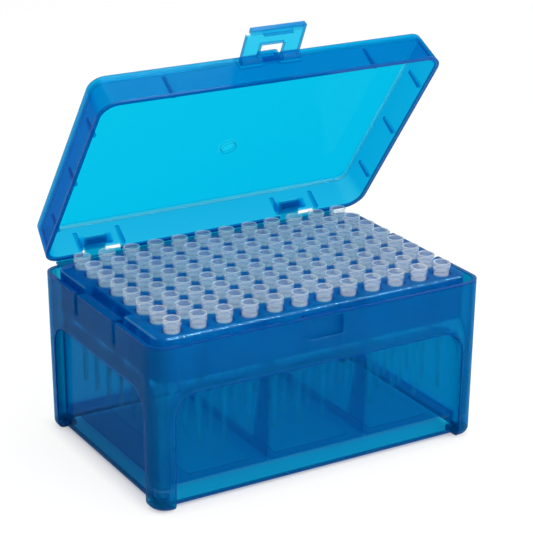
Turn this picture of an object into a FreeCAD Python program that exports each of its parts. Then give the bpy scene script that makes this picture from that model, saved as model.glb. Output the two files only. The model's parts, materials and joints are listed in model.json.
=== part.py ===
import FreeCAD, Part
import os
import Sketcher

# Hinged box of pipette tips: a tall base on four feet, a perforated tray snapped into its mouth,
# a shallow lid on two pin hinges above the back rim, a snap clasp on the lid's front, and 96 tips
# in eight rows of twelve.  Millimetres, +X right, +Y back, +Z up.  The origin is the centre of the
# plane of the feet.  Lid and clasp are drawn shut about their own hinge axes; their placements
# open them.

SIZES = {
    # the grid of tips
    "tip_pitch": 9.0,
    "tip_rows": 8,
    "tip_columns": 12,
    "tips_in_group": 4,
    "tray_margin_long": 7.3,
    "tray_margin_wide": 5.5,
    "tray_space": 2.3,
    "tip_room": 8.5,
    # base: what each side loses on the way down from the rim to the feet
    "base_taper": 0.65,
    "corner_radius": 6.5,
    "wall": 1.3,
    "embed": 0.3,
    "floor_top": 7.4,
    "floor_thickness": 1.5,
    "foot_drop": 1.0,
    "foot_rounding": 2.4,
    "foot_base": 1.6,
    "foot_wall": 2.8,
    # recessed arched windows, open at the bottom
    "pillar_long": 7.4,
    "pillar_short": 8.1,
    "window_below_rim": 16.4,
    "window_radius": 8.0,
    "window_recess": 3.4,
    # the two cross partitions
    "partition_thickness": 1.2,
    "partition_rib": 3.5,
    "gusset_low": 9.6,
    "gusset_high": 3.4,
    # shallow panels sunk into the floor of each bay
    "inset_depth": 0.5,
    "inset_margin": 4.2,
    "inset_end": 11.0,
    # ribs that carry and centre the tray
    "rib_thickness": 1.2,
    "rib_long_inset": 18.1,
    "rib_short_near": 9.4,
    "rib_short_inset": 13.1,
    "rib_below_rim": 2.0,
    "tray_clearance": 0.25,
    # snap tongues in the end walls
    "tongue_half": 12.4,
    "tongue_slit": 2.3,
    "tongue_depth": 7.6,
    "tongue_reach": 2.9,
    "hook_face": 0.6,
    "hook_slope": 0.9,
    # pocket for the clasp
    "catch_half": 6.0,
    "catch_drop": 0.9,
    "catch_height": 6.6,
    "catch_depth": 1.8,
    "catch_back": 1.0,
    # tray
    "tray_proud": 1.4,
    "tray_depth": 14.6,
    "tray_plate": 1.5,
    "tray_wall": 1.2,
    "tray_corner": 5.0,
    "tray_edge": 0.8,
    "notch_depth": 3.0,
    "notch_half": 14.0,
    "notch_drop": 3.3,
    "seat_diameter": 6.6,
    "seat_depth": 0.5,
    "tray_rib": 8.0,
    # tip
    "tip_rim_radius": 2.85,
    "tip_collar_radius": 2.62,
    "tip_rim_height": 2.2,
    "tip_collar_height": 4.6,
    "tip_shank_radius": 2.1,
    "tip_waist_radius": 1.15,
    "tip_waist_depth": 19.0,
    "tip_end_radius": 0.65,
    "tip_depth": 40.0,
    "tip_mouth_radius": 2.25,
    "tip_wall": 0.35,
    "tip_clearance": 0.15,
    # lid
    "lid_overhang": 1.4,
    "lid_height": 12.2,
    "lid_draft": 1.4,
    "lid_wall": 1.3,
    "lid_corner": 6.5,
    "lid_edge": 1.2,
    "lid_gap": 0.3,
    "lid_open_angle": 53.5,
    "lid_rib_reach": 1.7,
    "lid_rib_thickness": 1.3,
    "lid_rib_lift": 1.0,
    "lid_rib_top": 4.4,
    "front_rib_place": 36.3,
    "front_rib_top": 2.8,
    "short_rib_place": 24.3,
    "gate_radius": 3.5,
    "gate_across": 2.3,
    "gate_back": 8.0,
    "gate_depth": 0.3,
    # back hinges: an ear of the base stands behind the lid's wall, between two lugs of the lid
    "hinge_spread": 75.5,
    "hinge_shift": -2.25,
    "hinge_length": 7.0,
    "hinge_offset": 0.6,
    "hinge_rise": 5.6,
    "hinge_radius": 1.6,
    "hinge_pin_radius": 0.8,
    "hinge_running": 0.08,
    "hinge_lug": 2.0,
    "hinge_gap": 0.3,
    "hinge_notch": 2.0,
    "hinge_rib": 7.75,
    "hinge_gusset": 8.0,
    "rail_rise": 1.5,
    "rail_gusset": 3.0,
    # clasp
    "clasp_half": 10.5,
    "clasp_length": 11.5,
    "clasp_thickness": 1.1,
    "clasp_height": 8.6,
    "clasp_offset": 0.9,
    "clasp_gap": 0.3,
    "clasp_radius": 1.2,
    "clasp_pin_radius": 0.7,
    "clasp_running": 0.08,
    "clasp_cut_half": 4.1,
    "clasp_cut_depth": 5.3,
    "clasp_lip": 1.8,
    "clasp_lip_reach": 0.8,
    "clasp_notch": 1.5,
    "clasp_notch_length": 2.0,
    "clasp_lug_half": 3.1,
    "clasp_lug_top": 0.3,
    "clasp_open_angle": 101.0,
    "recess_half": 11.1,
    "recess_depth": 0.8,
    "recess_below": 1.6,
    "barb_half": 5.2,
    "barb_reach": 1.3,
    "barb_gap": 0.3,
    "barb_height": 1.1,
}

# what follows from the sizes above
FITS = {
    "tray_length": "=tip_pitch * (tip_columns - 1) + 2 * tray_margin_long",
    "tray_width": "=tip_pitch * (tip_rows - 1) + 2 * tray_margin_wide",
    "base_length": "=tray_length + 2 * (tray_space + wall)",
    "base_width": "=tray_width + 2 * (tray_space + wall)",
    "base_height": "=floor_top + tip_room + tip_depth + seat_depth - tray_proud",
    "window_long_half": "=base_length / 2 - pillar_long",
    "window_short_half": "=base_width / 2 - pillar_short",
    "window_top": "=base_height - window_below_rim",
    "lid_length": "=base_length + 2 * lid_overhang",
    "lid_width": "=base_width",
}

doc = FreeCAD.newDocument("tip_box")
sheet = doc.addObject("Spreadsheet::Sheet", "sizes")
for line, (alias, number) in enumerate((SIZES | FITS).items(), start=1):
    sheet.set(f"A{line}", alias)
    sheet.set(f"B{line}", str(number))
    sheet.setAlias(f"B{line}", alias)
doc.recompute()


def value(expression):
    """The number that an expression on the sheet stands for."""
    return float(sheet.evalExpression(expression))


def bind(thing, **sizes):
    """Bind properties to expressions; a double underscore stands for a dot."""
    for name, expression in sizes.items():
        thing.setExpression(name.replace("__", "."), expression)


def new_body(label):
    body = doc.addObject("PartDesign::Body", label)
    body.Label = label
    return body


def plane_of(body, role):
    return next(item for item in body.Origin.OriginFeatures if item.Role == role)


def new_sketch(body, name, role, offset):
    """A sketch on one of the body's own planes, moved along the plane's normal."""
    sketch = body.newObject("Sketcher::SketchObject", name)
    sketch.AttachmentSupport = (plane_of(body, role), [""])
    sketch.MapMode = "FlatFace"
    bind(sketch, AttachmentOffset__Base__z=offset)
    return sketch


def fix(sketch, kind, geometry, point, expression):
    """Fix one coordinate of a sketch point, measured from the sketch's origin."""
    index = sketch.addConstraint(Sketcher.Constraint(kind, -1, 1, geometry, point, value(expression)))
    bind(sketch, **{f"Constraints[{index}]": expression})


def outline(body, name, role, offset, points):
    """A closed outline of straight lines whose corners are pairs of expressions."""
    sketch = new_sketch(body, name, role, offset)
    places = [FreeCAD.Vector(value(x), value(y), 0) for x, y in points]
    for index, place in enumerate(places):
        sketch.addGeometry(Part.LineSegment(place, places[(index + 1) % len(places)]))
    for index, (x, y) in enumerate(points):
        following = (index + 1) % len(points)
        sketch.addConstraint(Sketcher.Constraint("Coincident", index, 2, following, 1))
        fix(sketch, "DistanceX", index, 1, x)
        fix(sketch, "DistanceY", index, 1, y)
    return sketch


def rounded(body, name, role, offset, half, low, high, radius, low_round=True):
    """A rectangle with round corners: centred across, from low to high; or round above only."""
    sketch = new_sketch(body, name, role, offset)
    w, b, t, r = value(half), value(low), value(high), value(radius)
    point = FreeCAD.Vector
    up = point(0, 0, 1)
    turn = 1.5707963267948966
    s = r if low_round else 0
    lines = [((s - w, b), (w - s, b)), ((w, b + s), (w, t - r)),
             ((w - r, t), (r - w, t)), ((-w, t - r), (-w, b + s))]
    for start, end in lines:
        sketch.addGeometry(Part.LineSegment(point(*start, 0), point(*end, 0)))
    centres = [(w - r, t - r, 0), (r - w, t - r, 1)]
    if low_round:
        centres += [(r - w, b + r, 2), (w - r, b + r, 3)]
    for x, y, quarter in centres:
        circle = Part.Circle(point(x, y, 0), up, r)
        sketch.addGeometry(Part.ArcOfCircle(circle, quarter * turn, (quarter + 1) * turn))
    joints = [("Tangent", 1, 2, 4, 1), ("Tangent", 4, 2, 2, 1),
              ("Tangent", 2, 2, 5, 1), ("Tangent", 5, 2, 3, 1)]
    if low_round:
        joints += [("Tangent", 3, 2, 6, 1), ("Tangent", 6, 2, 0, 1),
                   ("Tangent", 0, 2, 7, 1), ("Tangent", 7, 2, 1, 1),
                   ("Equal", 4, 6), ("Equal", 4, 7)]
    else:
        joints += [("Coincident", 3, 2, 0, 1), ("Coincident", 0, 2, 1, 1)]
    joints += [("Equal", 4, 5), ("Horizontal", 0), ("Vertical", 1), ("Horizontal", 2), ("Vertical", 3)]
    for joint in joints:
        sketch.addConstraint(Sketcher.Constraint(*joint))
    index = sketch.addConstraint(Sketcher.Constraint("Radius", 4, r))
    bind(sketch, **{f"Constraints[{index}]": radius})
    fix(sketch, "DistanceX", 3, 1, f"-({half})")
    fix(sketch, "DistanceX", 1, 1, half)
    fix(sketch, "DistanceY", 0, 1, low)
    fix(sketch, "DistanceY", 2, 1, high)
    return sketch


def extrude(body, name, sketch, length, cut=False, reverse=False, centred=False, taper="0"):
    """Pad or pocket a sketch; a taper draws each side in by that much over the length."""
    feature = body.newObject("PartDesign::Pocket" if cut else "PartDesign::Pad", name)
    feature.Profile = sketch
    feature.Reversed = reverse
    feature.Midplane = centred
    bind(feature, Length=length, TaperAngle=f"-atan({taper} / ({length}))")
    return feature


def block(body, name, low, size, cut=False):
    """A box by its low corner and its size, all expressions."""
    feature = body.newObject("PartDesign::SubtractiveBox" if cut else "PartDesign::AdditiveBox", name)
    bind(feature, Length=size[0], Width=size[1], Height=size[2],
         Placement__Base__x=low[0], Placement__Base__y=low[1], Placement__Base__z=low[2])
    return feature


def rod(body, name, radius, middle, length, cut=False):
    """A round bar along X, by the middle of its axis."""
    sketch = new_sketch(body, f"{name}_circle", "YZ_Plane", middle[0])
    centre = FreeCAD.Vector(value(middle[1]), value(middle[2]), 0)
    sketch.addGeometry(Part.Circle(centre, FreeCAD.Vector(0, 0, 1), value(radius)))
    index = sketch.addConstraint(Sketcher.Constraint("Radius", 0, value(radius)))
    bind(sketch, **{f"Constraints[{index}]": radius})
    fix(sketch, "DistanceX", 0, 3, middle[1])
    fix(sketch, "DistanceY", 0, 3, middle[2])
    return extrude(body, name, sketch, length, cut=cut, centred=True)


def bore(body, name, radius, low, depth):
    """An upright round hole, from its lowest point."""
    feature = body.newObject("PartDesign::SubtractiveCylinder", name)
    bind(feature, Radius=radius, Height=depth,
         Placement__Base__x=low[0], Placement__Base__y=low[1], Placement__Base__z=low[2])
    return feature


def fillet(body, name, radius, height):
    """Round the edges of the body's last feature that lie level at a height."""
    doc.recompute()
    base = body.Tip
    edges = []
    for number, edge in enumerate(base.Shape.Edges, start=1):
        box = edge.BoundBox
        if abs(box.ZMin - value(height)) < 0.01 and abs(box.ZMax - value(height)) < 0.01:
            edges.append(f"Edge{number}")
    feature = body.newObject("PartDesign::Fillet", name)
    feature.Base = (base, edges)
    bind(feature, Radius=radius)
    return feature


def mirror(body, name, features, planes):
    """Repeat features on the other side of one or two of the body's own planes."""
    doc.recompute()
    transform = body.newObject("PartDesign::MultiTransform", name)
    transform.Originals = features
    steps = []
    for plane in planes:
        step = body.newObject("PartDesign::Mirrored", f"{name}_{plane}")
        step.MirrorPlane = (plane_of(body, plane), [""])
        steps.append(step)
    transform.Transformations = steps
    body.Tip = transform


def both_hinges(body, features):
    """Repeat the left hinge's features at the right hinge."""
    doc.recompute()
    pattern = body.newObject("PartDesign::LinearPattern", "hinges")
    pattern.Originals = features
    pattern.Direction = (plane_of(body, "X_Axis"), [""])
    bind(pattern, Length="sizes.hinge_spread", Occurrences="2")
    body.Tip = pattern


# ---------------------------------------------------------------- shared places, as expressions
BASE_X = "sizes.base_length / 2"
BASE_Y = "sizes.base_width / 2"
RIM = "sizes.base_height"
INNER_X = f"({BASE_X} - sizes.window_recess - sizes.wall)"
INNER_Y = f"({BASE_Y} - sizes.window_recess - sizes.wall)"
TRAY_X = "sizes.tray_length / 2"
TRAY_Y = "sizes.tray_width / 2"
TRAY_TOP = f"({RIM} + sizes.tray_proud)"
TRAY_FOOT = f"({TRAY_TOP} - sizes.tray_depth)"
SHELF = f"({TRAY_TOP} - sizes.notch_drop)"
CROSS = "sizes.tip_pitch * sizes.tips_in_group / 2"
HINGE_Y = f"({BASE_Y} + sizes.hinge_offset)"
HINGE_Z = f"({RIM} + sizes.lid_gap + sizes.hinge_rise)"
FIRST_HINGE = "(sizes.hinge_shift - sizes.hinge_spread / 2)"


def make_base():
    """The moulded base: tapered walls, arched windows and the hollows under the floor."""
    body = new_body("base")
    rim = rounded(body, "base_rim", "XY_Plane", RIM, BASE_X, f"-{BASE_Y}", BASE_Y, "sizes.corner_radius")
    extrude(body, "base_block", rim, RIM, reverse=True, taper="sizes.base_taper")
    fillet(body, "base_feet", "sizes.foot_rounding", "0")
    mouth = rounded(body, "cavity_mouth", "XY_Plane", RIM, f"{BASE_X} - sizes.wall",
                    f"sizes.wall - {BASE_Y}", f"{BASE_Y} - sizes.wall", "sizes.corner_radius - sizes.wall")
    extrude(body, "cavity", mouth, f"{RIM} - sizes.floor_top", cut=True, taper="sizes.base_taper")

    # each window stands back from the wall and is lined on the inside
    reach = "sizes.window_recess + sizes.wall - sizes.base_taper - sizes.embed"
    back = rounded(body, "back_lining_outline", "XZ_Plane", f"-{INNER_Y}", "sizes.window_long_half + sizes.wall",
                   "sizes.foot_rounding", "sizes.window_top + sizes.wall",
                   "sizes.window_radius + sizes.wall", low_round=False)
    back_lining = extrude(body, "back_lining", back, reach, reverse=True)
    end = rounded(body, "end_lining_outline", "YZ_Plane", INNER_X, "sizes.window_short_half + sizes.wall",
                  "sizes.foot_rounding", "sizes.window_top + sizes.wall",
                  "sizes.window_radius + sizes.wall", low_round=False)
    end_lining = extrude(body, "end_lining", end, reach)
    mirror(body, "linings", [back_lining, end_lining], ["XZ_Plane", "YZ_Plane"])
    back = rounded(body, "back_window_outline", "XZ_Plane", f"-{BASE_Y} - 1", "sizes.window_long_half", "-1",
                   "sizes.window_top", "sizes.window_radius", low_round=False)
    back_window = extrude(body, "back_window", back, "sizes.window_recess + 1", cut=True, reverse=True)
    end = rounded(body, "end_window_outline", "YZ_Plane", f"{BASE_X} + 1", "sizes.window_short_half", "-1",
                  "sizes.window_top", "sizes.window_radius", low_round=False)
    end_window = extrude(body, "end_window", end, "sizes.window_recess + 1", cut=True)
    mirror(body, "windows", [back_window, end_window], ["XZ_Plane", "YZ_Plane"])

    # slots between the feet, and the shallow hollow under the floor
    block(body, "long_slot", (f"-{BASE_X}", "-sizes.window_short_half", "-1"),
          ("sizes.base_length", "2 * sizes.window_short_half", "sizes.foot_drop + 1"), cut=True)
    block(body, "cross_slot", ("-sizes.window_long_half", f"-{BASE_Y}", "-1"),
          ("2 * sizes.window_long_half", "sizes.base_width", "sizes.foot_drop + 1"), cut=True)
    under = "sizes.floor_top - sizes.floor_thickness"
    block(body, "long_hollow", (f"-{INNER_X}", "-sizes.window_short_half", "0"),
          (f"2 * {INNER_X}", "2 * sizes.window_short_half", under), cut=True)
    block(body, "cross_hollow", ("-sizes.window_long_half", f"-{INNER_Y}", "0"),
          ("2 * sizes.window_long_half", f"2 * {INNER_Y}", under), cut=True)
    return body


def furnish_base(body):
    """Foot wells, partitions, ribs that carry the tray, and the slits beside the snap tongues."""
    near_x = "(sizes.window_long_half + sizes.wall)"
    near_y = "(sizes.window_short_half + sizes.wall)"
    well = block(body, "well", (near_x, near_y, "sizes.foot_base"),
                 (f"{BASE_X} - sizes.base_taper - sizes.foot_wall - {near_x}",
                  f"{BASE_Y} - sizes.base_taper - sizes.foot_wall - {near_y}",
                  "sizes.floor_top - sizes.foot_base + 0.5"), cut=True)

    top = "sizes.window_top"
    thick = "sizes.rib_thickness"
    reach_x = f"({BASE_X} - sizes.wall - {TRAY_X} + sizes.embed)"
    reach_y = f"({BASE_Y} - sizes.wall - {TRAY_Y} + sizes.embed)"
    low_rib = f"({RIM} - sizes.tongue_depth - 0.8 - {top})"
    seat = f"({TRAY_FOOT} - {top})"
    across = f"{BASE_X} - sizes.rib_long_inset - {thick} / 2"
    repeated = [
        well,
        block(body, "long_rib", (across, f"{TRAY_Y} + sizes.tray_clearance", top),
              (thick, f"{reach_y} - sizes.tray_clearance", f"{RIM} - sizes.rib_below_rim - {top}")),
        block(body, "long_seat", (across, f"{TRAY_Y} - sizes.tray_wall", top),
              (thick, f"{reach_y} + sizes.tray_wall", seat)),
    ]
    for name, place in (("near", "sizes.rib_short_near"), ("far", f"{BASE_Y} - sizes.rib_short_inset")):
        along = f"{place} - {thick} / 2"
        repeated += [
            block(body, f"{name}_rib", (f"{TRAY_X} + sizes.tray_clearance", along, top),
                  (f"{reach_x} - sizes.tray_clearance", thick, low_rib)),
            block(body, f"{name}_seat", (f"{TRAY_X} - sizes.tray_wall", along, top),
                  (f"{reach_x} + sizes.tray_wall", thick, seat)),
        ]
    foot = f"({RIM} - sizes.tongue_depth + sizes.tongue_slit / 2)"
    repeated += [
        block(body, "slit", (f"{BASE_X} - sizes.wall - 1", "sizes.tongue_half", foot),
              ("sizes.wall + 2", "sizes.tongue_slit", f"{RIM} + 1 - {foot}"), cut=True),
        rod(body, "slit_end", "sizes.tongue_slit / 2",
            (f"({BASE_X} - sizes.wall / 2)", "sizes.tongue_half + sizes.tongue_slit / 2", foot),
            "sizes.wall + 2", cut=True),
    ]
    mirror(body, "quarters", repeated, ["XZ_Plane", "YZ_Plane"])


def add_fastenings(body):
    """Partitions, the hooks of the snap tongues, the hinge ears and the pocket for the clasp."""
    floor = "(sizes.floor_top - sizes.embed)"
    margin = "(sizes.partition_thickness / 2 + sizes.inset_margin)"
    deep = f"({INNER_Y} - sizes.inset_margin)"
    low = "(sizes.floor_top - sizes.inset_depth)"
    block(body, "middle_inset", (f"{margin} - {CROSS}", f"-{deep}", low),
          (f"2 * ({CROSS} - {margin})", f"2 * {deep}", "1"), cut=True)
    inset = block(body, "end_inset", (f"{CROSS} + {margin}", f"-{deep}", low),
                  (f"{INNER_X} - sizes.inset_end - {CROSS} - {margin}", f"2 * {deep}", "1"), cut=True)

    knee = "(sizes.floor_top + sizes.partition_rib)"
    ledge = "(sizes.window_top + sizes.wall / 2)"
    top = f"({TRAY_FOOT} - sizes.tray_clearance)"
    wall = f"({INNER_Y} + sizes.embed)"
    outer = f"({BASE_Y} - sizes.wall / 2)"
    half = [(wall, floor), (wall, ledge), (outer, ledge), (outer, top),
            (f"({INNER_Y} - sizes.gusset_high)", top), (f"({INNER_Y} - sizes.gusset_low)", knee)]
    corners = half + [(f"-{y}", z) for y, z in reversed(half)]
    sketch = outline(body, "partition_outline", "YZ_Plane", CROSS, corners)
    partition = extrude(body, "partition", sketch, "sizes.partition_thickness", centred=True)

    root = f"{BASE_X} - sizes.wall + sizes.embed"
    nose = f"{BASE_X} - sizes.wall - sizes.tongue_reach"
    under = f"{SHELF} + sizes.tray_clearance"
    points = [(root, under), (nose, under), (nose, f"{under} + sizes.hook_face"),
              (f"{nose} + sizes.hook_slope", RIM), (root, RIM)]
    sketch = outline(body, "hook_outline", "XZ_Plane", "0", points)
    hook = extrude(body, "hook", sketch, "2 * sizes.tongue_half", centred=True)

    mirror(body, "halves", [inset, partition, hook], ["YZ_Plane"])

    back = f"({HINGE_Y} + sizes.hinge_radius)"
    face = f"({BASE_Y} + sizes.lid_gap)"
    root = f"({BASE_Y} - sizes.base_taper - sizes.embed)"
    points = [(face, RIM), (face, HINGE_Z), (back, HINGE_Z), (back, RIM),
              (root, f"{RIM} - sizes.hinge_gusset"), (root, RIM)]
    rail = [(face, RIM), (face, f"({RIM} + sizes.rail_rise)"), (back, f"({RIM} + sizes.rail_rise)"), (back, RIM),
            (root, f"{RIM} - sizes.rail_gusset"), (root, RIM)]
    sketch = outline(body, "rail_outline", "YZ_Plane", "0", rail)
    extrude(body, "rail", sketch, "sizes.base_length - 2 * sizes.corner_radius", centred=True)
    sketch = outline(body, "ear_outline", "YZ_Plane", FIRST_HINGE, points)
    ear = extrude(body, "ear", sketch, "sizes.hinge_length", centred=True)
    middle = (FIRST_HINGE, HINGE_Y, HINGE_Z)
    eye = rod(body, "eye", "sizes.hinge_radius", middle, "sizes.hinge_length")
    hole = rod(body, "pin_hole", "sizes.hinge_pin_radius + sizes.hinge_running", middle,
               "sizes.hinge_length + 2", cut=True)
    both_hinges(body, [ear, eye, hole])

    low = f"({RIM} - sizes.catch_drop - sizes.catch_height)"
    block(body, "catch_boss",
          ("-sizes.catch_half - sizes.wall", f"sizes.wall - sizes.embed - {BASE_Y}", f"{low} - sizes.wall"),
          ("2 * (sizes.catch_half + sizes.wall)",
           "sizes.catch_depth + sizes.catch_back - sizes.wall + sizes.embed",
           "sizes.catch_height + sizes.catch_drop + sizes.wall"))
    block(body, "catch_pocket", ("-sizes.catch_half", f"-{BASE_Y} - 1", low),
          ("2 * sizes.catch_half", "sizes.catch_depth + 1", "sizes.catch_height"), cut=True)


def make_tray():
    """The perforated tray: an upturned pan with a seat for each tip and notches for the tongues."""
    body = new_body("tray")
    top = rounded(body, "pan_outline", "XY_Plane", TRAY_FOOT, TRAY_X, f"-{TRAY_Y}", TRAY_Y,
                  "sizes.tray_corner")
    extrude(body, "pan", top, "sizes.tray_depth")
    fillet(body, "pan_edge", "sizes.tray_edge", TRAY_TOP)
    inside = rounded(body, "hollow_outline", "XY_Plane", TRAY_FOOT, f"{TRAY_X} - sizes.tray_wall",
                     f"sizes.tray_wall - {TRAY_Y}", f"{TRAY_Y} - sizes.tray_wall",
                     "sizes.tray_corner - sizes.tray_wall")
    extrude(body, "hollow", inside, "sizes.tray_depth - sizes.tray_plate", cut=True, reverse=True)

    deep = "(sizes.notch_depth + sizes.tray_wall)"
    shelf = block(body, "shelf",
                  (f"{TRAY_X} - {deep}", "-sizes.notch_half - sizes.tray_wall", f"{SHELF} - sizes.tray_plate"),
                  (f"{deep} - sizes.embed", "2 * (sizes.notch_half + sizes.tray_wall)",
                   "sizes.notch_drop + sizes.tray_plate - 1"))
    notch = block(body, "notch", (f"{TRAY_X} - sizes.notch_depth", "-sizes.notch_half", SHELF),
                  ("sizes.notch_depth + 1", "2 * sizes.notch_half", "sizes.notch_drop + 1"), cut=True)
    thick = "sizes.rib_thickness"
    rib_low = f"{TRAY_TOP} - sizes.tray_plate - sizes.tray_rib"
    stiffener = block(body, "stiffener", (f"{CROSS} - {thick} / 2", f"sizes.embed - {TRAY_Y}", rib_low),
                      (thick, "sizes.tray_width - 2 * sizes.embed", "sizes.tray_rib + sizes.embed"))
    mirror(body, "ends", [shelf, notch, stiffener], ["YZ_Plane"])
    block(body, "long_stiffener", (f"sizes.tray_wall + sizes.notch_depth - {TRAY_X}", f"-{thick} / 2", rib_low),
          ("sizes.tray_length - 2 * (sizes.tray_wall + sizes.notch_depth)", thick,
           "sizes.tray_rib + sizes.embed"))

    first_x = "-sizes.tip_pitch * (sizes.tip_columns - 1) / 2"
    first_y = "-sizes.tip_pitch * (sizes.tip_rows - 1) / 2"
    seat = bore(body, "seat", "sizes.seat_diameter / 2",
                (first_x, first_y, f"{TRAY_TOP} - sizes.seat_depth"), "sizes.seat_depth + 1")
    hole = bore(body, "hole", "sizes.tip_shank_radius + sizes.tip_clearance",
                (first_x, first_y, f"{TRAY_TOP} - sizes.tray_plate - 1"), "sizes.tray_plate + 2")
    doc.recompute()
    grid = body.newObject("PartDesign::MultiTransform", "grid")
    grid.Originals = [seat, hole]
    steps = []
    for name, axis, count in (("along", "X_Axis", "sizes.tip_columns"), ("across", "Y_Axis", "sizes.tip_rows")):
        pattern = body.newObject("PartDesign::LinearPattern", name)
        pattern.Direction = (plane_of(body, axis), [""])
        bind(pattern, Length=f"sizes.tip_pitch * ({count} - 1)", Occurrences=count)
        steps.append(pattern)
    grid.Transformations = steps
    body.Tip = grid
    return body


def make_tips(row, first):
    """One group of tips side by side in a row: hollow, collared and tapered."""
    letter = "abcdefgh"[row]
    last = first + int(value("sizes.tips_in_group")) - 1
    body = new_body(f"tips_{letter}{first + 1:02d}_{letter}{last + 1:02d}")
    body.AllowCompound = True
    top = "sizes.tip_collar_height"
    step = "(sizes.tip_collar_height - sizes.tip_rim_height)"
    profile = [("sizes.tip_rim_radius", top), ("sizes.tip_mouth_radius", top),
               ("sizes.tip_waist_radius - sizes.tip_wall", "-sizes.tip_waist_depth"),
               ("sizes.tip_end_radius - sizes.tip_wall", "-sizes.tip_depth"),
               ("sizes.tip_end_radius", "-sizes.tip_depth"),
               ("sizes.tip_waist_radius", "-sizes.tip_waist_depth"),
               ("sizes.tip_shank_radius", "0"), ("sizes.tip_collar_radius", "0"),
               ("sizes.tip_collar_radius", step), ("sizes.tip_rim_radius", step)]
    sketch = outline(body, "tip_profile", "XZ_Plane", "0", profile)
    tip = body.newObject("PartDesign::Revolution", "tip")
    tip.Profile = sketch
    tip.ReferenceAxis = (sketch, ["V_Axis"])
    doc.recompute()
    pattern = body.newObject("PartDesign::LinearPattern", "tips")
    pattern.Originals = [tip]
    pattern.Direction = (plane_of(body, "X_Axis"), [""])
    bind(pattern, Length="sizes.tip_pitch * (sizes.tips_in_group - 1)", Occurrences="sizes.tips_in_group")
    body.Tip = pattern
    bind(body, Placement__Base__x=f"sizes.tip_pitch * ({first} - (sizes.tip_columns - 1) / 2)",
         Placement__Base__y=f"sizes.tip_pitch * ((sizes.tip_rows - 1) / 2 - {row})",
         Placement__Base__z=f"{TRAY_TOP} - sizes.seat_depth")
    return body


# ---------------------------------------------------------------- lid, drawn about its hinge axis
LID_X = "sizes.lid_length / 2"
LID_Y = "sizes.lid_width / 2"
LID_MIDDLE = f"(-{HINGE_Y})"
LID_RIM = "(-sizes.hinge_rise)"
LID_TOP = f"({LID_RIM} + sizes.lid_height)"
FRONT = f"({LID_MIDDLE} - {LID_Y})"
CLASP_LEAN = "(sizes.lid_draft * sizes.clasp_height / sizes.lid_height)"
CLASP_Y = f"({FRONT} + {CLASP_LEAN} - sizes.clasp_offset)"
CLASP_Z = f"({LID_RIM} + sizes.clasp_height)"


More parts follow.
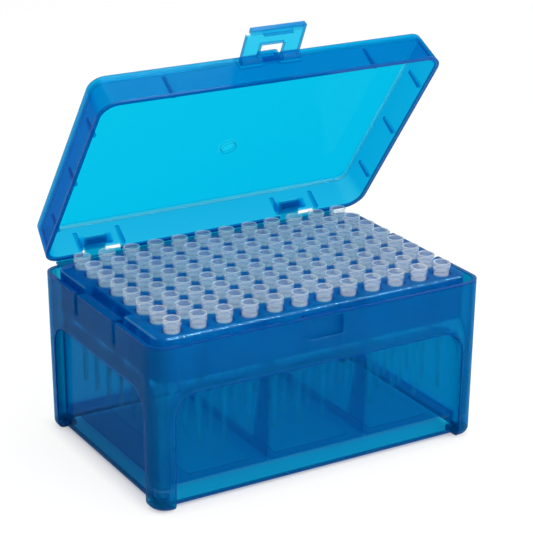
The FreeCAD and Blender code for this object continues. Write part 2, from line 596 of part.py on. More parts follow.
def make_lid():
    """The lid: a drafted shell, the cut-outs and pins of the hinges, and the clasp's recess."""
    body = new_body("lid")
    rim = rounded(body, "lid_rim", "XY_Plane", LID_RIM, LID_X, FRONT, f"{LID_MIDDLE} + {LID_Y}",
                  "sizes.lid_corner")
    extrude(body, "lid_block", rim, "sizes.lid_height", taper="sizes.lid_draft")
    fillet(body, "lid_edges", "sizes.lid_edge", LID_TOP)
    inside = rounded(body, "lid_inside", "XY_Plane", LID_RIM, f"{LID_X} - sizes.lid_wall",
                     f"{FRONT} + sizes.lid_wall", f"{LID_MIDDLE} + {LID_Y} - sizes.lid_wall",
                     "sizes.lid_corner - sizes.lid_wall")
    extrude(body, "lid_hollow", inside, "sizes.lid_height - sizes.lid_wall", cut=True, reverse=True,
            taper="sizes.lid_draft")
    bore(body, "gate", "sizes.gate_radius",
         ("sizes.gate_across", f"{LID_MIDDLE} + sizes.gate_back", f"{LID_TOP} - sizes.gate_depth"),
         "sizes.gate_depth + 1")

    # ribs that centre the closed lid on the tray
    repeated = []
    thick = "sizes.lid_rib_thickness"
    low = f"({LID_RIM} + sizes.lid_rib_lift)"
    high = f"({LID_TOP} - sizes.lid_rib_top - {low})"
    front_low = f"{FRONT} + sizes.lid_wall"
    repeated.append(block(body, "front_rib", (f"sizes.front_rib_place - {thick} / 2", front_low, low),
                          (thick, "sizes.lid_rib_reach", f"{LID_TOP} - sizes.front_rib_top - {low}")))
    for name, place in (("near", "-sizes.short_rib_place"), ("middle", "0"), ("far", "sizes.short_rib_place")):
        repeated.append(block(body, f"{name}_end_rib",
                              (f"{LID_X} - sizes.lid_wall - sizes.lid_rib_reach",
                               f"{LID_MIDDLE} + {place} - {thick} / 2", low),
                              ("sizes.lid_rib_reach", thick, high)))
    mirror(body, "halves", repeated, ["YZ_Plane"])

    # back hinges: a notch and a groove in the wall, two lugs behind it, the pin, and two ribs
    gap_half = "(sizes.hinge_length / 2 + sizes.hinge_gap)"
    notch_half = f"(sizes.hinge_rib - {thick} / 2)"
    wall_in = "(-sizes.hinge_offset - sizes.lid_wall)"
    hinge = [
        block(body, "notch", (f"{FIRST_HINGE} - {notch_half}", f"{wall_in} - 1", f"{LID_RIM} - 1"),
              (f"2 * {notch_half}", "sizes.lid_wall + 2", "sizes.hinge_notch + 1"), cut=True),
        rod(body, "groove", "sizes.hinge_radius + sizes.hinge_gap", (FIRST_HINGE, "0", "0"),
            f"2 * {gap_half}", cut=True),
    ]
    for part, way in (("left", "-1"), ("right", "1")):
        place = f"({FIRST_HINGE} + {way} * ({gap_half} + sizes.hinge_lug / 2))"
        points = [(wall_in, "-sizes.hinge_radius"), ("0", "-sizes.hinge_radius"),
                  ("0", "sizes.hinge_radius"), (wall_in, "sizes.hinge_radius")]
        sketch = outline(body, f"{part}_lug_outline", "YZ_Plane", place, points)
        hinge.append(extrude(body, f"{part}_lug", sketch, "sizes.hinge_lug", centred=True))
        hinge.append(rod(body, f"{part}_lug_end", "sizes.hinge_radius", (place, "0", "0"), "sizes.hinge_lug"))
        across = f"{FIRST_HINGE} + {way} * sizes.hinge_rib - {thick} / 2"
        hinge.append(block(body, f"{part}_rib", (across, f"{wall_in} - sizes.lid_rib_reach", low),
                           (thick, "sizes.lid_rib_reach", high)))
    hinge.append(rod(body, "pin", "sizes.hinge_pin_radius", (FIRST_HINGE, "0", "0"),
                     f"2 * ({gap_half} + sizes.embed)"))
    both_hinges(body, hinge)

    # the clasp's hinge stands in a recess that is open to the panel, with a lug in its middle
    recess_low = f"({CLASP_Z} - sizes.recess_below)"
    recess_back = f"({FRONT} + {CLASP_LEAN} + sizes.recess_depth)"
    block(body, "recess", ("-sizes.recess_half", f"{FRONT} - 1", recess_low),
          ("2 * sizes.recess_half", f"{recess_back} - {FRONT} + 1", f"{LID_TOP} - {recess_low} + 1"), cut=True)
    lug_top = f"({LID_TOP} - sizes.clasp_lug_top)"
    nose = f"({CLASP_Y} - sizes.clasp_radius)"
    points = [(f"{recess_back} + sizes.embed", f"{recess_low} - sizes.embed"),
              (f"{CLASP_Y}", f"{recess_low} - sizes.embed"),
              (nose, f"{CLASP_Z} - sizes.clasp_radius / 2"), (nose, f"{lug_top} - 1"),
              (f"{nose} + 1", lug_top), (f"{recess_back} + sizes.embed", lug_top)]
    sketch = outline(body, "clasp_lug_outline", "YZ_Plane", "0", points)
    extrude(body, "clasp_lug", sketch, "2 * sizes.clasp_lug_half", centred=True)
    rod(body, "clasp_lug_bore", "sizes.clasp_pin_radius + sizes.clasp_running",
        ("0", CLASP_Y, CLASP_Z), "2 * sizes.clasp_lug_half + 2", cut=True)

    opened = FreeCAD.Rotation(FreeCAD.Vector(-1, 0, 0), value("sizes.lid_open_angle"))
    body.Placement = FreeCAD.Placement(FreeCAD.Vector(), opened)
    bind(body, Placement__Rotation__Angle="sizes.lid_open_angle", Placement__Base__y=HINGE_Y,
         Placement__Base__z=HINGE_Z)
    return body


def make_clasp():
    """The clasp, drawn hanging from its pin: a plate with a cut-out, a lip and an inward barb."""
    body = new_body("clasp")
    half = "sizes.clasp_half"
    end = "(-sizes.clasp_length)"
    # the lid's rim and the base's wall stand this far in front of the pin, so the plate stands clear
    wall = f"(sizes.clasp_offset - {CLASP_LEAN})"
    inside = f"({wall} - sizes.clasp_gap)"
    outside = f"({inside} - sizes.clasp_thickness)"
    block(body, "plate", (f"-{half}", outside, end),
          (f"2 * {half}", "sizes.clasp_thickness", "sizes.clasp_length + sizes.clasp_radius / 2"))
    rod(body, "knuckle", "sizes.clasp_radius", ("0", "0", "0"), f"2 * {half}")
    block(body, "lip", (f"-{half}", f"{outside} - sizes.clasp_lip_reach", end),
          (f"2 * {half}", "sizes.clasp_thickness / 2 + sizes.clasp_lip_reach", "sizes.clasp_lip"))
    block(body, "notch", (f"-{half} - 1", "-5", f"{end} - 1"),
          ("sizes.clasp_notch + 1", "10", "sizes.clasp_notch_length + 1"), cut=True)
    block(body, "cutout", ("-sizes.clasp_cut_half", "-5", "-sizes.clasp_cut_depth"),
          ("2 * sizes.clasp_cut_half", "10", "sizes.clasp_cut_depth + 5"), cut=True)
    rod(body, "clasp_pin", "sizes.clasp_pin_radius", ("0", "0", "0"),
        "2 * (sizes.clasp_cut_half + sizes.embed)")

    top = "(-sizes.clasp_height - sizes.lid_gap - sizes.catch_drop - sizes.barb_gap)"
    tip = f"({wall} + sizes.barb_reach)"
    root = f"({inside} - sizes.embed)"
    points = [(root, top), (tip, top), (tip, f"{top} - sizes.barb_height / 3"),
              (inside, f"{top} - sizes.barb_height"), (root, f"{top} - sizes.barb_height")]
    sketch = outline(body, "barb_outline", "YZ_Plane", "0", points)
    extrude(body, "barb", sketch, "2 * sizes.barb_half", centred=True)

    turn = "sizes.lid_open_angle"
    opened = FreeCAD.Rotation(FreeCAD.Vector(-1, 0, 0), value(f"{turn} + sizes.clasp_open_angle"))
    body.Placement = FreeCAD.Placement(FreeCAD.Vector(), opened)
    bind(body, Placement__Rotation__Angle=f"{turn} + sizes.clasp_open_angle",
         Placement__Base__y=f"{HINGE_Y} + {CLASP_Y} * cos({turn}) + {CLASP_Z} * sin({turn})",
         Placement__Base__z=f"{HINGE_Z} - {CLASP_Y} * sin({turn}) + {CLASP_Z} * cos({turn})")
    return body


base = make_base()
furnish_base(base)
add_fastenings(base)
parts = [base, make_tray(), make_lid(), make_clasp()]
doc.recompute()
columns = int(value("sizes.tip_columns"))
group = int(value("sizes.tips_in_group"))
for row in range(int(value("sizes.tip_rows"))):
    parts += [make_tips(row, first) for first in range(0, columns, group)]
doc.recompute()

for item in doc.Objects:
    if "Invalid" in item.State or "Error" in item.State:
        raise RuntimeError(f"{item.Name} did not build: {item.State}")
for body in parts:
    if body.Shape.isNull() or not body.Shape.isValid():
        raise RuntimeError(f"{body.Label} has no valid shape")

os.makedirs("parts", exist_ok=True)
for body in parts:
    body.Shape.exportStep(f"parts/{body.Label}.step")
    print(body.Label, len(body.Shape.Solids), round(body.Shape.Volume, 1))
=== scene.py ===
import json
import math

import bpy
from mathutils import Matrix, Vector


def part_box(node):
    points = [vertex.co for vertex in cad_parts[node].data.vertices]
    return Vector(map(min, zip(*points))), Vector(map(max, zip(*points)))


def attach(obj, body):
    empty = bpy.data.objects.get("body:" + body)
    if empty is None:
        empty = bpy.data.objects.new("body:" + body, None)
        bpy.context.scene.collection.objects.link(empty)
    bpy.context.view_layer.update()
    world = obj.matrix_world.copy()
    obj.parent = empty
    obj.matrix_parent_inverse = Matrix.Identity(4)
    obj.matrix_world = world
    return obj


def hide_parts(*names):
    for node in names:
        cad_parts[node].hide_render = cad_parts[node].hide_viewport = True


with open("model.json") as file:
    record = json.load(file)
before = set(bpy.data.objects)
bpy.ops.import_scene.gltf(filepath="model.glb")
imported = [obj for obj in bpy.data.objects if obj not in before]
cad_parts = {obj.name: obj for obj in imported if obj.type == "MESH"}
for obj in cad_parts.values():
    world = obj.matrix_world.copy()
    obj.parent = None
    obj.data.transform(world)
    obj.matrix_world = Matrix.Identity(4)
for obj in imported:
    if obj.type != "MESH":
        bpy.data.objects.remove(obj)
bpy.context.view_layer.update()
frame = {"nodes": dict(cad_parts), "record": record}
MM = 0.001

# ---------------------------------------------------------------- sizes and places, in mm
JOINTS = {joint["name"]: Vector(joint["pos_m"]) for joint in frame["record"]["behaviour"]["joints"]}
HINGE = JOINTS["lid_hinge"]

# the grid of the tips, and the seats sunk round them in the tray
PITCH = 9.0
GRID_X, GRID_Y = 6 * PITCH, 4 * PITCH
SEAT_RADIUS = 3.3

# the base: half sizes at the rim, what each side loses on the way down, and its arched windows
RIM = HINGE.z / MM - 5.9
BASE_X, BASE_Y, BASE_TAPER = 60.4, 40.6, 0.65
WINDOW_FRONT, WINDOW_END, WINDOW_TOP = 53.0, 32.5, RIM - 16.4
ARCH, WINDOW_SUNK, LOW_EDGE = 8.0, 3.4, 1.0
END_WALL = BASE_X - 5.4
FLOOR_TOP, FLOOR_EDGE = 7.4, 34.95
PANEL_TOP, PANEL_EDGE = 6.9, 31.7
POCKET_LOW, POCKET_HALF, POCKET_FACE = 47.5, 6.3, -38.6

# the lid, about its hinge as if shut, with the inner faces of its walls where they meet the panel
LID_OPEN = math.radians(53.5)
LID_RIM, LID_TOP, LID_WALL = -5.6, 6.6, 1.3
LID_IN_X, LID_IN_Y, LID_MIDDLE, LID_IN_CORNER = 59.1, 37.9, -41.2, 3.8
LID_LEAN = 1.4 / 10.9
GATE_X, GATE_Y, GATE_RADIUS = 2.3, LID_MIDDLE + 8.0, 2.7
RIB_HALF, RIB_TOP = 0.6, 2.2
FRONT_RIB_X, FRONT_RIB_TOP = 36.3, 3.8
END_RIB_STEP = 24.3
HINGE_SHIFT, HINGE_X, HINGE_RIB = -2.25, 37.75, 7.75

# the clasp, hanging from its pin
CLASP_OPEN = math.radians(101.0)
CLASP_SIDE, CLASP_LIP, CLASP_END = 10.2, -9.7, -11.15
CUT_HALF, CUT_TOP, PIN_RADIUS = 4.1, -5.3, 1.3


def box(node):
    """A node's lowest and highest corners at rest, in mm."""
    low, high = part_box(node)
    return Vector(low) / MM, Vector(high) / MM


# ---------------------------------------------------------------- camera
AZIMUTH, ELEVATION, ROLL = (math.radians(a) for a in (-30.48, 20.40, -0.31))
CAMERA_AT = Vector((-0.2905, -0.4969, 0.2717))
LENS = 126.98


def make_camera():
    back = Vector((math.sin(AZIMUTH) * math.cos(ELEVATION),
                   -math.cos(AZIMUTH) * math.cos(ELEVATION), math.sin(ELEVATION)))
    right = (-back).cross(Vector((0, 0, 1))).normalized()
    down = (-back).cross(right)
    across = math.cos(ROLL) * right + math.sin(ROLL) * down
    under = -math.sin(ROLL) * right + math.cos(ROLL) * down
    data = bpy.data.cameras.new("camera")
    data.sensor_width, data.lens = 36.0, LENS
    data.clip_start, data.clip_end = 0.05, 20.0
    camera = bpy.data.objects.new("camera", data)
    bpy.context.scene.collection.objects.link(camera)
    turn = Matrix((across, -under, back)).transposed()
    camera.matrix_world = Matrix.Translation(CAMERA_AT) @ turn.to_4x4()
    bpy.context.scene.camera = camera


# ---------------------------------------------------------------- node helpers
class Tree:
    """The node tree of a material or of the world, built by short calls.  Lengths are in mm."""

    def __init__(self, owner, output="ShaderNodeOutputMaterial"):
        self.owner = owner
        owner.use_nodes = True
        self.tree = owner.node_tree
        self.tree.nodes.clear()
        self.output = self.add(output)

    def add(self, kind, settings=None, **values):
        node = self.tree.nodes.new(kind)
        for name, setting in (settings or {}).items():
            setattr(node, name, setting)
        for name, given in values.items():
            self.put(node.inputs[name.replace("_", " ")], given)
        return node

    def put(self, socket, given):
        """Links a socket to another, or sets its value.  Colours are red, green and blue."""
        if isinstance(given, bpy.types.NodeSocket):
            self.tree.links.new(given, socket)
        else:
            socket.default_value = (*given, 1) if socket.type == "RGBA" else given

    def maths(self, operation, *given):
        node = self.add("ShaderNodeMath", {"operation": operation})
        for socket, value in zip(node.inputs, given):
            self.put(socket, value)
        return node.outputs[0]

    def every(self, *shares):
        """The product of several shares."""
        product = shares[0]
        for share in shares[1:]:
            product = self.maths("MULTIPLY", product, share)
        return product

    def any(self, *shares):
        """The greatest of several shares."""
        most = shares[0]
        for share in shares[1:]:
            most = self.maths("MAXIMUM", most, share)
        return most

    def less(self, source, other):
        return self.maths("SUBTRACT", source, other)

    def away(self, source, middle=0.0):
        """The distance from the middle, to either side."""
        return self.maths("ABSOLUTE", self.less(source, middle))

    def past(self, source, edge):
        """The distance beyond an edge, or 0 before it."""
        return self.maths("MAXIMUM", self.less(source, edge), 0.0)

    def span(self, a, b):
        """The length of the line that goes a one way and b the other."""
        squares = [self.maths("MULTIPLY", v, v) for v in (a, b)]
        return self.maths("SQRT", self.maths("ADD", *squares))

    def between(self, share, low, high):
        node = self.add("ShaderNodeMapRange", Value=share, To_Min=low, To_Max=high)
        return node.outputs["Result"]

    def ramp(self, source, start, end):
        """0 at start and 1 at end, straight between them."""
        node = self.add("ShaderNodeMapRange", Value=source, From_Min=start, From_Max=end)
        return node.outputs["Result"]

    def below(self, source, edge, soft=0.1):
        """1 below an edge and 0 above it, softened to either side."""
        return self.ramp(source, edge + soft, edge - soft)

    def above(self, source, edge, soft=0.1):
        """1 above an edge and 0 below it, softened to either side."""
        return self.ramp(source, edge - soft, edge + soft)

    def near(self, source, middle, half, soft=0.08):
        """1 within half of the middle, falling to 0 over soft."""
        return self.ramp(self.away(source, middle), half + soft, half)

    def noise(self, scale, detail):
        at = self.add("ShaderNodeTexCoord").outputs["Object"]
        return self.add("ShaderNodeTexNoise", Vector=at, Scale=scale, Detail=detail).outputs["Fac"]

    def place(self, turn=0.0, about=(0, 0, 0)):
        """x, y and z of the point, from a point given in metres and turned about its X line."""
        at = self.add("ShaderNodeTexCoord").outputs["Object"]
        moved = self.add("ShaderNodeVectorMath", {"operation": "SUBTRACT"})
        self.put(moved.inputs[0], at)
        self.put(moved.inputs[1], about)
        turned = self.add("ShaderNodeMapping", Vector=moved.outputs[0], Rotation=(turn, 0, 0),
                          Scale=(1 / MM, 1 / MM, 1 / MM))
        return self.add("ShaderNodeSeparateXYZ", Vector=turned.outputs[0]).outputs

    def blend(self, share, first, second):
        """A colour between two others."""
        node = self.add("ShaderNodeMix", {"data_type": "RGBA"})
        for place, given in ((0, share), (6, first), (7, second)):
            self.put(node.inputs[place], given)
        return node.outputs[2]

    def mix(self, share, first, second):
        """A shader between two others."""
        node = self.add("ShaderNodeMixShader")
        for socket, given in zip(node.inputs, (share, first, second)):
            self.put(socket, given)
        return node.outputs[0]

    def seen(self):
        """1 for the rays that show a thing itself or its reflection, and 0 for those that light."""
        path = self.add("ShaderNodeLightPath").outputs
        return self.any(path["Is Camera Ray"], path["Is Glossy Ray"], path["Is Transmission Ray"])


# ---------------------------------------------------------------- plastic
def plastic(name, colour, opacity, clear=(1, 1, 1), per_wall=None, wall=1.3, rough=0.12,
            grain=900.0, glow=0.35, bump=0.05, shine_on=0.004, shine_colour=(1, 1, 1), edge=None,
            lines=None, deep=None, deep_tint=None, veil=None, slant=(8.0, 0.35), glints=None,
            glint=0.12):
    """Clear moulded plastic: partly solid colour, partly see-through, darker the deeper one looks.

    colour is what its own haze shows, opacity how much haze each face has, per_wall what share of
    red, green and blue light one wall lets through, and glow how much of the haze is lit from
    behind.  lines(tree) is where painted shade goes: a dark line of the colour edge, with more
    haze, along rims, edges, ribs and seats.  deep(tree) is where the see-through part is tinted
    darker, by the share deep_tint.  veil(tree) is how much of the haze each place has, and slant
    the power and share of the gloss that shows at a slant.  glints(tree) is where a painted
    highlight goes, as extra gloss by the share glint along small rounded corners.  Less light
    comes through a face seen at a slant, as in any glass, and the colour edge is what is left of
    it."""
    t = Tree(bpy.data.materials.new(name))
    patches = t.noise(55.0, 3.0)
    fine = t.noise(grain, 4.0)
    facing = t.add("ShaderNodeLayerWeight", Blend=0.5).outputs["Facing"]

    tone = t.blend(patches, [c * 0.86 for c in colour], [min(c * 1.14, 1) for c in colour])
    hazy = t.between(patches, opacity * 0.85, opacity * 1.15)
    if veil:
        hazy = t.maths("MULTIPLY", hazy, veil(t))
    # Painted shade: the lines turn the colour towards edge and thicken the haze, which draws a dark
    # line.
    if lines:
        line = lines(t)
        tone = t.blend(line, tone, edge)
        hazy = t.any(hazy, t.maths("MULTIPLY", line, 0.8))
    bumped = t.add("ShaderNodeBump", Strength=bump, Distance=0.0002, Height=fine).outputs[0]
    haze = t.add("ShaderNodeBsdfPrincipled", Base_Color=tone, Normal=bumped, IOR=1.2,
                 Roughness=t.between(fine, rough * 0.75, rough * 1.3)).outputs[0]
    lit_through = t.add("ShaderNodeBsdfTranslucent", Color=tone).outputs[0]

    tint = clear
    if deep:
        tint = t.blend(deep(t), tint, deep_tint)
    if edge:
        slanted = t.maths("MULTIPLY", t.ramp(facing, 0.65, 0.95), 0.85)
        tint = t.blend(slanted, tint, edge)
    see = t.add("ShaderNodeBsdfTransparent", Color=tint).outputs[0]
    body = t.mix(hazy, see, t.mix(glow, haze, lit_through))

    shine = t.maths("MULTIPLY_ADD", t.maths("POWER", facing, slant[0]), slant[1], shine_on)
    # Painted highlights: more gloss where glints(tree) is 1.
    if glints:
        shine = t.maths("MULTIPLY_ADD", glints(t), glint, shine)
    mirror = t.add("ShaderNodeBsdfGlossy", {"distribution": "GGX"}, Normal=bumped,
                   Color=shine_colour, Roughness=t.between(fine, rough * 0.4, rough * 0.8))
    t.put(t.output.inputs["Surface"], t.mix(shine, body, mirror.outputs[0]))

    if per_wall:
        taken = [-math.log(share) / (wall * MM) for share in per_wall]
        most = max(taken)
        volume = t.add("ShaderNodeVolumeAbsorption", Density=most,
                       Color=[1 - k / most for k in taken])
        t.put(t.output.inputs["Volume"], volume.outputs[0])
    return t.owner


# ---------------------------------------------------------------- pieces
def smooth_mesh(name, points, faces):
    mesh = bpy.data.meshes.new(name)
    mesh.from_pydata(points, [], faces)
    mesh.polygons.foreach_set("use_smooth", [True] * len(mesh.polygons))
    mesh.update()
    return mesh


def add_piece(name, mesh, material, body):
    mesh.materials.append(material)
    piece = bpy.data.objects.new(name, mesh)
    bpy.context.scene.collection.objects.link(piece)
    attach(piece, body)
    return piece


# ---------------------------------------------------------------- tips
TIP_STEPS = 64
FLUTES = 16
TIPS_IN_GROUP = 4
TIP_RIM = 2.85
TIP_TOP = 4.60
TIP_PROFILE_OUT = [  # radius, height above the seat, depth of the flutes there
    (2.68, TIP_TOP, 0), (2.80, 4.57, 0), (TIP_RIM, 4.47, 0), (TIP_RIM, 3.4, 0), (2.84, 2.32, 0),
    (2.79, 2.22, 0), (2.66, 2.19, 0), (2.62, 2.10, 0.11), (2.61, 1.2, 0.12), (2.60, 0.22, 0.12),
    (2.52, 0.06, 0.08), (2.42, 0, 0), (2.1, 0, 0), (2.04, -0.6, 0), (1.6, -9.5, 0),
    (1.15, -19.0, 0), (0.98, -26.0, 0), (0.65, -40.0, 0)]
TIP_PROFILE_IN = [
    (0.30, -40.0, 0), (0.42, -35.0, 0), (0.80, -19.0, 0), (1.45, -6.0, 0), (1.62, -1.2, 0),
    (1.98, -0.8, 0), (2.05, 1.6, 0), (2.25, 2.0, 0), (2.42, 4.35, 0), (2.54, 4.57, 0)]


def tip_group_mesh(name, left, middle, seat):
    """Four hollow tips side by side, each a closed ring of profile loops."""
    loops = TIP_PROFILE_OUT + TIP_PROFILE_IN
    points, faces = [], []
    for tip in range(TIPS_IN_GROUP):
        first = len(points)
        centre = left + tip * PITCH
        for radius, height, flute in loops:
            for step in range(TIP_STEPS):
                turn = 2 * math.pi * step / TIP_STEPS
                r = radius - flute * (0.5 - 0.5 * math.cos(FLUTES * turn))
                points.append(((centre + r * math.cos(turn)) * MM,
                               (middle + r * math.sin(turn)) * MM, (seat + height) * MM))
        for ring in range(len(loops)):
            here = first + ring * TIP_STEPS
            after = first + (ring + 1) % len(loops) * TIP_STEPS
            for step in range(TIP_STEPS):
                following = (step + 1) % TIP_STEPS
                faces.append((here + following, here + step, after + step, after + following))
    return smooth_mesh(name, points, faces)


def make_tips(material):
    for node in sorted(frame["nodes"]):
        if node.startswith("tips_"):
            low, high = box(node)
            mesh = tip_group_mesh("clear_" + node, low.x + TIP_RIM, (low.y + high.y) / 2,
                                  high.z - TIP_TOP)
            piece = add_piece("clear_" + node, mesh, material, "base")
            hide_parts(node)


# ---------------------------------------------------------------- the lid's inner corner
def from_lid(x, y, z):
    """A point of the shut lid, in mm about its hinge, put where the open lid has it, in metres."""
    c, s = math.cos(LID_OPEN), math.sin(LID_OPEN)
    return (x * MM, HINGE.y + (y * c + z * s) * MM, HINGE.z + (z * c - y * s) * MM)


def make_lid_corner(material):
    """The rounded inner corner between the lid's panel and its walls."""
    radius, sunk, steps = 1.0, 0.25, 8
    profile = [(radius - radius * math.cos(a), radius - radius * math.sin(a))
               for a in (math.pi / 2 * k / steps for k in range(steps + 1))]
    profile += [(radius, -sunk), (-sunk, -sunk), (-sunk, radius)]
    path = []
    for side_x, side_y, start in ((1, 1, 0), (-1, 1, 90), (-1, -1, 180), (1, -1, 270)):
        for step in range(steps + 1):
            turn = math.radians(start + 90 * step / steps)
            path.append((side_x * (LID_IN_X - LID_IN_CORNER), side_y * (LID_IN_Y - LID_IN_CORNER),
                         math.cos(turn), math.sin(turn)))
    points, faces = [], []
    for x, y, out_x, out_y in path:
        for inward, below in profile:
            reach = LID_IN_CORNER - inward
            points.append(from_lid(x + out_x * reach, LID_MIDDLE + y + out_y * reach,
                                   LID_TOP - LID_WALL - below))
    around = len(profile)
    for station in range(len(path)):
        here, after = station * around, (station + 1) % len(path) * around
        for k in range(around):
            n = (k + 1) % around
            faces.append((here + k, after + k, after + n, here + n))
    mesh = smooth_mesh("lid_inner_corner", points, faces)
    mesh.set_sharp_from_angle(angle=math.radians(50))
    add_piece("lid_inner_corner", mesh, material, "lid")


# ---------------------------------------------------------------- the base's painted shade and highlights, and its haze
def wall_depths(t, x, y, z):
    """How far a point is inside the outer face of the end walls, and of the front and back."""
    leaning = t.maths("MULTIPLY", t.less(RIM, z), BASE_TAPER / RIM)
    return [t.less(t.less(half, leaning), t.away(v)) for v, half in ((x, BASE_X), (y, BASE_Y))]


def window_reach(t, along, z, half):
    """How far a point is outside the arched outline of a window, looked at square on."""
    beside = t.past(t.away(along), half - ARCH)
    above = t.past(z, WINDOW_TOP - ARCH)
    return t.less(t.span(beside, above), ARCH)


def base_shade_lines(t):
    """Painted shade: dark lines along the top of the wall, the two edges of each window's arch,
    and the windows' lower edge.
    """
    x, y, z = t.place()
    marks = [t.every(t.above(z, RIM - 0.45), t.below(z, RIM + 0.2)),
             t.below(z, LOW_EDGE + 0.7, 0.2)]
    for depth, along, half in zip(wall_depths(t, x, y, z), (y, x), (WINDOW_END, WINDOW_FRONT)):
        reach = window_reach(t, along, z, half)
        marks.append(t.every(t.near(reach, 0.1, 0.3, 0.15), t.ramp(depth, 0.8, 0.5)))
        marks.append(t.every(t.near(reach, 0.0, 0.4, 0.15),
                             t.near(depth, WINDOW_SUNK, 0.25, 0.2), 0.7))
    return t.any(*marks)


def base_veil(t):
    """The outer walls and the pillars between the windows are hazier."""
    outer = t.any(*(t.below(depth, 2.0, 0.2) for depth in wall_depths(t, *t.place())))
    return t.between(outer, 1.0, 2.2)


def base_ends(t):
    """The two end walls, their windows included."""
    return t.above(t.away(t.place()[0]), END_WALL)


def base_painted_glints(t):
    """Painted highlights, as extra gloss: the front and back corners of the floor and its sunk
    panels, and the pocket's lower edge.
    """
    x, y, z = t.place()
    deep = t.away(y)
    floor = t.every(t.near(z, FLOOR_TOP, 0.1), t.above(deep, FLOOR_EDGE, 0.05))
    sunk = t.every(t.near(z, PANEL_TOP, 0.5), t.near(deep, PANEL_EDGE, 0.15))
    pocket = t.every(t.near(z, POCKET_LOW, 0.2), t.near(x, 0.0, POCKET_HALF),
                     t.below(y, POCKET_FACE))
    return t.any(floor, sunk, pocket)


# ---------------------------------------------------------------- the tray's painted shade and highlight, and the tips' haze
def from_tip(t, v):
    """How far a point is from the nearest row of tips, along one side of the grid."""
    turns = t.maths("FRACT", t.maths("DIVIDE", v, PITCH))
    return t.maths("MULTIPLY", t.less(turns, 0.5), PITCH)


def seat_shadow_rings(t):
    """Painted shade: a dark disc in the sunk seat round each tip in the tray's plate."""
    x, y, z = t.place()
    disc = t.below(t.span(from_tip(t, x), from_tip(t, y)), SEAT_RADIUS, 0.15)
    plate = t.above(z, box("tray")[1].z - 0.8)
    return t.every(disc, plate, t.below(t.away(x), GRID_X + 0.1), t.below(t.away(y), GRID_Y + 0.1),
                   0.7)


def tray_painted_glints(t):
    """A painted highlight, as extra gloss, along the rounded upper edge all round the tray."""
    x, y, z = t.place()
    high = box("tray")[1]
    sides = ((x, high.x), (y, high.y))
    outer = t.any(*(t.above(t.away(v), half - 0.75, 0.05) for v, half in sides))
    return t.every(outer, t.above(z, high.z - 0.7), t.ramp(z, high.z, high.z - 0.03))


def tip_veil(t):
    """The haze is thickest on the lip, the step and the foot of the collar, and thinnest below."""
    top = max(box(node)[1].z for node in frame["nodes"] if node.startswith("tips_"))
    z = t.place()[2]
    seat = top - TIP_TOP
    share = t.between(t.ramp(z, seat - 0.2, seat), 0.5, 1.0)
    rim = t.ramp(z, seat + 2.1, seat + 2.4)
    lip = t.ramp(z, top - 0.4, top - 0.15)
    step = t.near(z, seat + 2.2, 0.08, 0.15)
    foot = t.near(z, seat + 0.75, 0.3, 0.35)
    for part, more in ((rim, -0.35), (lip, 1.0), (step, 0.7), (foot, 0.8)):
        share = t.maths("MULTIPLY_ADD", part, more, share)
    return share


# ---------------------------------------------------------------- the lid's and the clasp's painted shade
def lid_reach(t, x, y, z):
    """How far out a point is from the inner faces of the lid's walls, which lean outwards."""
    beside = t.past(t.away(x), LID_IN_X - LID_IN_CORNER)
    along = t.past(t.away(y, LID_MIDDLE), LID_IN_Y - LID_IN_CORNER)
    leaning = t.maths("MULTIPLY", t.less(LID_TOP - LID_WALL, z), LID_LEAN)
    return t.less(t.less(t.span(beside, along), LID_IN_CORNER), leaning)


def lid_shade_outlines(t, z, reach):
    """Painted shade: a dark line on the lid's rim, and on the outside of the rounded corner
    round its panel.
    """
    rim = t.below(z, LID_RIM + 0.75)
    outside = t.less(1.0, t.add("ShaderNodeNewGeometry").outputs["Backfacing"])
    corner = t.any(t.every(t.above(z, LID_TOP - 2.5, 0.3), 0.5),
                   t.every(t.above(z, LID_TOP - 0.95, 0.15), 0.95))
    return t.any(rim, t.every(corner, t.ramp(reach, 0.0, 0.3), outside))


def lid_rib_shade(t, x, y, z, reach):
    """Painted shade: dark lines on the solid ribs on the inside of the lid's walls."""
    beside = t.away(x)
    front = t.every(t.near(beside, FRONT_RIB_X, RIB_HALF), t.below(y, -70.25, 0.25),
                    t.below(z, FRONT_RIB_TOP))
    turns = t.maths("FRACT", t.maths("DIVIDE", t.less(y, LID_MIDDLE - END_RIB_STEP / 2),
                                     END_RIB_STEP))
    ends = t.every(t.near(turns, 0.5, RIB_HALF / END_RIB_STEP, 0.004),
                   t.above(beside, 50.25, 0.25), t.below(z, RIB_TOP))
    from_hinge = t.away(t.away(x, HINGE_SHIFT), HINGE_X)
    back = t.every(t.near(from_hinge, HINGE_RIB, RIB_HALF), t.above(y, -11.75, 0.25),
                   t.below(z, RIB_TOP))
    inside = t.every(t.below(reach, 0.6), t.above(reach, -1.7))
    clear_of_rim = t.above(z, LID_RIM + 1.0)
    return t.every(t.any(front, ends, back), inside, clear_of_rim, 0.6)


def lid_shade_lines(t):
    """The lid's painted shade: dark lines on its outlines and ribs, and the ring of the gate mark
    in its panel, a real mark drawn dark with painted shade.
    """
    x, y, z = t.place(LID_OPEN, HINGE)
    reach = lid_reach(t, x, y, z)
    from_gate = t.span(t.less(x, GATE_X), t.less(y, GATE_Y))
    ring = t.every(t.ramp(t.away(from_gate, GATE_RADIUS), 0.5, 0.1),
                   t.ramp(z, LID_TOP - 1.5, LID_TOP - 1.35), 0.55)
    return t.any(lid_shade_outlines(t, z, reach), lid_rib_shade(t, x, y, z, reach), ring)


def lid_walls(t):
    """All but the two faces of the lid's panel."""
    x, y, z = t.place(LID_OPEN, HINGE)
    panel = LID_TOP - LID_WALL
    return t.any(t.ramp(z, panel - 0.03, panel - 0.15), t.ramp(lid_reach(t, x, y, z), 0.2, 0.5))


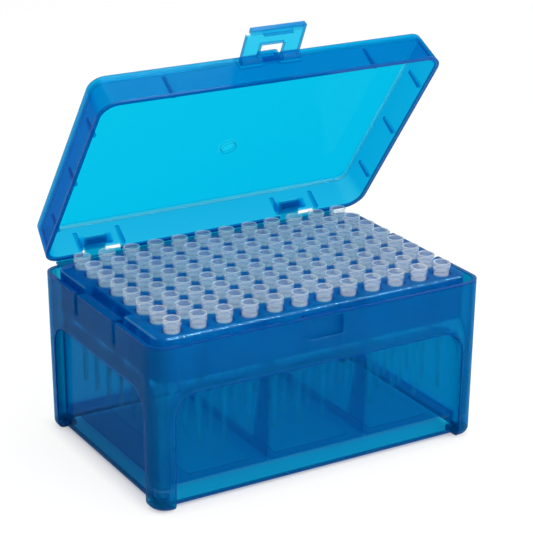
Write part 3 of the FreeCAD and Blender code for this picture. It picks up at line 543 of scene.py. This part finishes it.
def clasp_shade_lines(t):
    """Painted shade: dark lines on the clasp's lip, its sides and end, the edge of its cut-out, and
    its knuckles.
    """
    x, y, z = t.place(LID_OPEN + CLASP_OPEN, JOINTS["clasp_hinge"])
    beside = t.away(x)
    lip = t.every(t.below(z, CLASP_LIP), 0.55)
    sides = t.every(t.ramp(beside, CLASP_SIDE - 0.1, CLASP_SIDE + 0.05), 0.8)
    cut = t.every(t.near(beside, CUT_HALF, 0.3), t.above(z, CUT_TOP - 0.3), 0.7)
    top = t.every(t.near(z, CUT_TOP, 0.3), t.below(beside, CUT_HALF + 0.3), 0.7)
    end = t.every(t.below(z, CLASP_END, 0.05), 0.9)
    knuckle = t.every(t.near(z, 0.0, PIN_RADIUS), 0.5)
    return t.any(lip, sides, cut, top, end, knuckle)


# ---------------------------------------------------------------- stage and light
FLOOR_HALF, FLOOR_BELOW = 6.0, 0.0002  # in metres, as the lamps' places are


def make_floor():
    """White paper: it shows white all round, and takes the shade of the box under and near it."""
    h = FLOOR_HALF
    mesh = bpy.data.meshes.new("floor")
    mesh.from_pydata([(-h, -h, 0), (h, -h, 0), (h, h, 0), (-h, h, 0)], [], [(0, 1, 2, 3)])
    floor = bpy.data.objects.new("floor", mesh)
    bpy.context.scene.collection.objects.link(floor)
    floor.location.z = -FLOOR_BELOW
    t = Tree(bpy.data.materials.new("floor_white"))
    paper = t.add("ShaderNodeBsdfDiffuse", Color=(0.86, 0.86, 0.86)).outputs[0]
    white = t.add("ShaderNodeEmission", Color=(1, 1, 1), Strength=1.0).outputs[0]
    x, y = t.place()[:2]
    outside = t.any(t.less(t.away(x), BASE_X), t.less(t.away(y), BASE_Y))
    share = t.between(t.ramp(outside, -6.0, 3.0), 0.25, 0.87)
    t.put(t.output.inputs["Surface"], t.mix(t.maths("MULTIPLY", t.seen(), share), paper, white))
    mesh.materials.append(t.owner)


def make_world():
    """A pale grey all round, dimmer as light than as what is seen."""
    world = bpy.data.worlds.new("studio")
    bpy.context.scene.world = world
    t = Tree(world, "ShaderNodeOutputWorld")
    sky = t.add("ShaderNodeBackground", Color=(0.8, 0.8, 0.8),
                Strength=t.between(t.seen(), 0.62, 1.0))
    t.put(t.output.inputs["Surface"], sky.outputs[0])


def lamp(name, at, size, power):
    data = bpy.data.lights.new(name, "AREA")
    data.shape, data.size, data.size_y, data.energy = "RECTANGLE", size[0], size[1], power
    light = bpy.data.objects.new(name, data)
    bpy.context.scene.collection.objects.link(light)
    light.location = at
    aim = Vector((0, 0, 0.06)) - Vector(at)
    light.rotation_euler = aim.to_track_quat("-Z", "Y").to_euler()


def make_lights():
    lamp("key", (0.10, -0.80, 0.60), (0.5, 0.5), 4.5)
    lamp("top", (0.05, 0.15, 0.95), (0.7, 0.7), 7.5)
    lamp("side", (0.75, -0.30, 0.45), (0.3, 0.6), 2.0)
    lamp("strip", (0.475, -0.55, 0.74), (0.5, 0.03), 1.8)


# ---------------------------------------------------------------- dressing the model
# In each plastic below, edge is the dark colour of its painted shade lines, and the tint that a
# slant lets through.
SKY = (0.35, 0.8, 1.0)


def base_plastic():
    return plastic("deep_blue_clear", (0.0, 0.22, 0.52), 0.14, (0.97, 0.99, 1.0), shine_colour=SKY,
                   per_wall=(0.03, 0.73, 0.89), lines=base_shade_lines, edge=(0.0, 0.07, 0.30),
                   bump=0.03, glints=base_painted_glints, deep=base_ends, deep_tint=(1.0, 0.8, 0.85),
                   veil=base_veil)


def tray_plastic():
    return plastic("blue_tray", (0.0, 0.29, 0.68), 0.42, (0.95, 0.98, 1.0), shine_colour=SKY,
                   per_wall=(0.02, 0.58, 0.86), wall=1.2, glow=0.5, lines=seat_shadow_rings,
                   edge=(0.0, 0.06, 0.27), bump=0.03, glints=tray_painted_glints)


def lid_plastic():
    return plastic("light_blue_clear", (0.0, 0.42, 0.72), 0.035, (0.97, 0.99, 1.0),
                   shine_colour=SKY, per_wall=(0.04, 0.74, 0.90), lines=lid_shade_lines,
                   edge=(0.0, 0.10, 0.38), deep=lid_walls, deep_tint=(0.85, 0.82, 0.93))


def clasp_plastic():
    return plastic("pale_blue_clear", (0.02, 0.46, 0.74), 0.10, (0.96, 0.99, 1.0),
                   shine_colour=SKY, per_wall=(0.12, 0.76, 0.93), wall=1.1, lines=clasp_shade_lines,
                   edge=(0.0, 0.16, 0.50))


def corner_highlight_plastic():
    # A light, hazy and glossy blue: a painted highlight along the lid's inner corner.
    return plastic("lid_corner_painted_highlight", (0.25, 0.95, 1.0), 0.40, glow=0.7, shine_on=0.05)


def tip_plastic():
    return plastic("frosted_clear", (1.0, 0.97, 0.90), 0.20, (0.985, 0.995, 1.0), rough=0.25,
                   grain=1600.0, glow=0.5, bump=0.08, shine_on=0.02, veil=tip_veil,
                   slant=(3.0, 0.9))


def dress():
    for node, material in (("base", base_plastic()), ("tray", tray_plastic()),
                           ("lid", lid_plastic()), ("clasp", clasp_plastic())):
        for slot in frame["nodes"][node].material_slots:
            slot.material = material
    # The bead in the lid's inner corner carries a painted highlight.
    make_lid_corner(corner_highlight_plastic())
    make_tips(tip_plastic())


make_camera()
make_floor()
make_world()
make_lights()
dress()

scene = bpy.context.scene
scene.view_settings.view_transform = "Standard"
scene.cycles.transparent_max_bounces = 64
scene.cycles.max_bounces = 16
